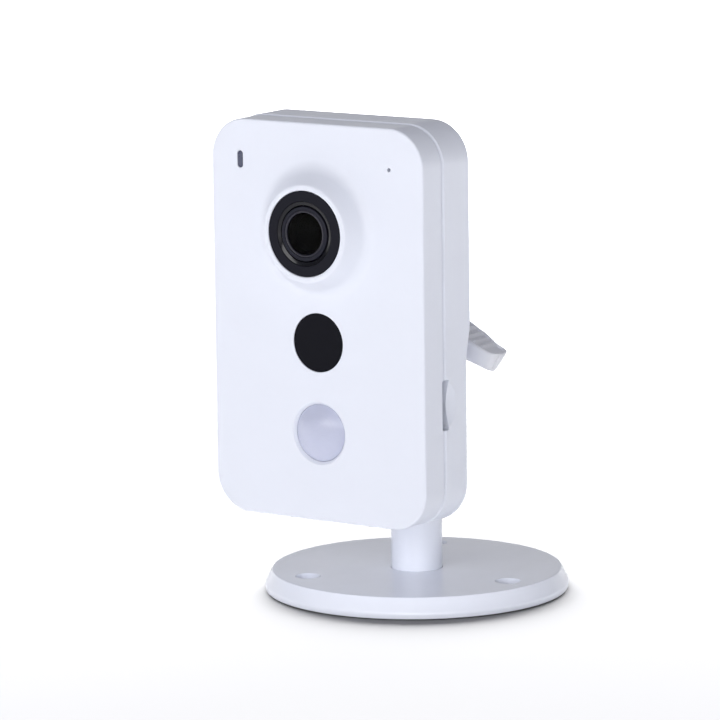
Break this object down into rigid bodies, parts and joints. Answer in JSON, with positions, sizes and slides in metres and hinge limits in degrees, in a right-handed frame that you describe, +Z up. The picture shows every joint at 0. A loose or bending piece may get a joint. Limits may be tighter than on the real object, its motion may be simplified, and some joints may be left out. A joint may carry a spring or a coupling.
{
  "type": "security camera",
  "caption": "Indoor cube camera: flat upright head with lens, infrared window and motion dome, on a clamped ball joint over a round screw-down stand.",
  "frame": {"origin": "centre of the stand's underside, on the axis of the post, in the plane of the rubber pad that meets the table", "axes": "+Z up along the post, the lens looks along -Y, +X to the viewer's right when facing the lens"},
  "size_m": [0.0802, 0.0897, 0.1282],
  "materials": {
    "white_plastic": "satin moulded white ABS",
    "white_joint": "matt moulded white acetal",
    "white_button": "satin moulded light grey plastic",
    "black_bezel": "fine matt black",
    "black_plastic": "matt black moulded",
    "lens_metal": "black anodised",
    "lens_glass": "polished and coated",
    "window_plastic": "polished infrared-pass black",
    "motion_plastic": "milky thin polyethylene",
    "light_plastic": "smoky grey light pipe",
    "filter_glass": "polished, coated",
    "board": "green solder mask",
    "chip": "matt epoxy",
    "steel": "zinc plated",
    "tin": "tin plated sheet",
    "alloy": "extruded, clear anodised",
    "gold": "gold plated",
    "copper": "enamelled copper wire",
    "rubber": "matt soft rubber",
    "grey_plastic": "matt grey acetal",
    "film": "polyimide film"
  },
  "bodies": {
    "stand": {"stand_post": "white_plastic", "post_screws": "steel", "base_disc": "white_plastic", "base_pad": "rubber"},
    "swivel": {"swivel_ball": "white_joint", "swivel_washer": "steel", "swivel_screw": "steel"},
    "liner": {"friction_liner": "grey_plastic"},
    "head": {"front_cover": "white_plastic", "rear_cover": "white_plastic", "status_light_pipe": "light_plastic", "status_led": "chip", "microphone": "alloy", "microphone_boot": "rubber", "lens_bezel": "black_bezel", "lens_barrel": "lens_metal", "lens_retaining_ring": "lens_metal", "lens_front_glass": "lens_glass", "lens_inner_glass": "lens_glass", "lens_holder": "black_plastic", "ir_cut_frame": "black_plastic", "ir_cut_coil": "copper", "image_sensor": "chip", "main_board": "board", "processor": "chip", "heat_sink": "alloy", "wifi_module": "tin", "wifi_antenna": "gold", "antenna_lead": "rubber", "ir_window": "window_plastic", "ir_led": "gold", "light_sensor": "chip", "motion_lens": "motion_plastic", "motion_sensor": "tin", "io_board": "board", "ribbon_cable": "film", "ethernet_jack": "black_plastic", "ethernet_contacts": "gold", "power_jack": "black_plastic", "power_pin": "steel", "card_socket": "tin", "tact_switches": "black_plastic", "speaker": "black_plastic", "cover_screws": "steel", "board_screws": "steel", "socket_screws": "steel", "ball_socket": "white_joint", "ball_retainer": "grey_plastic"},
    "thrust": {"thrust_ring": "steel"},
    "clamp": {"clamp_ring": "white_joint"},
    "filter": {"ir_cut_slider": "grey_plastic", "ir_cut_glass": "filter_glass", "clear_glass": "filter_glass"},
    "reset": {"reset_button": "grey_plastic"},
    "wps": {"wps_button": "white_button"}
  },
  "joints": [
    {"name": "pan", "type": "hinge", "parent": "stand", "child": "swivel", "pos_m": [0, 0, 0.0768], "axis": [0, 0, 1], "continuous": true},
    {"name": "tilt", "type": "hinge", "parent": "swivel", "child": "liner", "pos_m": [0, 0, 0.0768], "axis": [-1, 0, 0], "range_deg": [-12, 90]},
    {"name": "roll", "type": "hinge", "parent": "liner", "child": "head", "pos_m": [0, 0, 0.0768], "axis": [0, 1, 0], "range_deg": [-6, 6]},
    {"name": "clamp_travel", "type": "slide", "parent": "head", "child": "thrust", "axis": [0, 1, 0], "range_m": [0, 0.0005]},
    {"name": "clamp_lever", "type": "hinge", "parent": "thrust", "child": "clamp", "pos_m": [0, 0, 0.0768], "axis": [0, 1, 0], "range_deg": [0, 40]},
    {"name": "night_filter", "type": "slide", "parent": "head", "child": "filter", "axis": [-1, 0, 0], "range_m": [0, 0.0069]},
    {"name": "reset_press", "type": "slide", "parent": "head", "child": "reset", "axis": [0, -1, 0], "range_m": [0, 0.0006], "stiffness_N_per_m": 600},
    {"name": "wps_press", "type": "slide", "parent": "head", "child": "wps", "axis": [0, -1, 0], "range_m": [0, 0.0006], "stiffness_N_per_m": 600}
  ],
  "couplings": [
    {"joint": "clamp_lever", "follows": "clamp_travel", "rad_per_m": 1396}
  ]
}
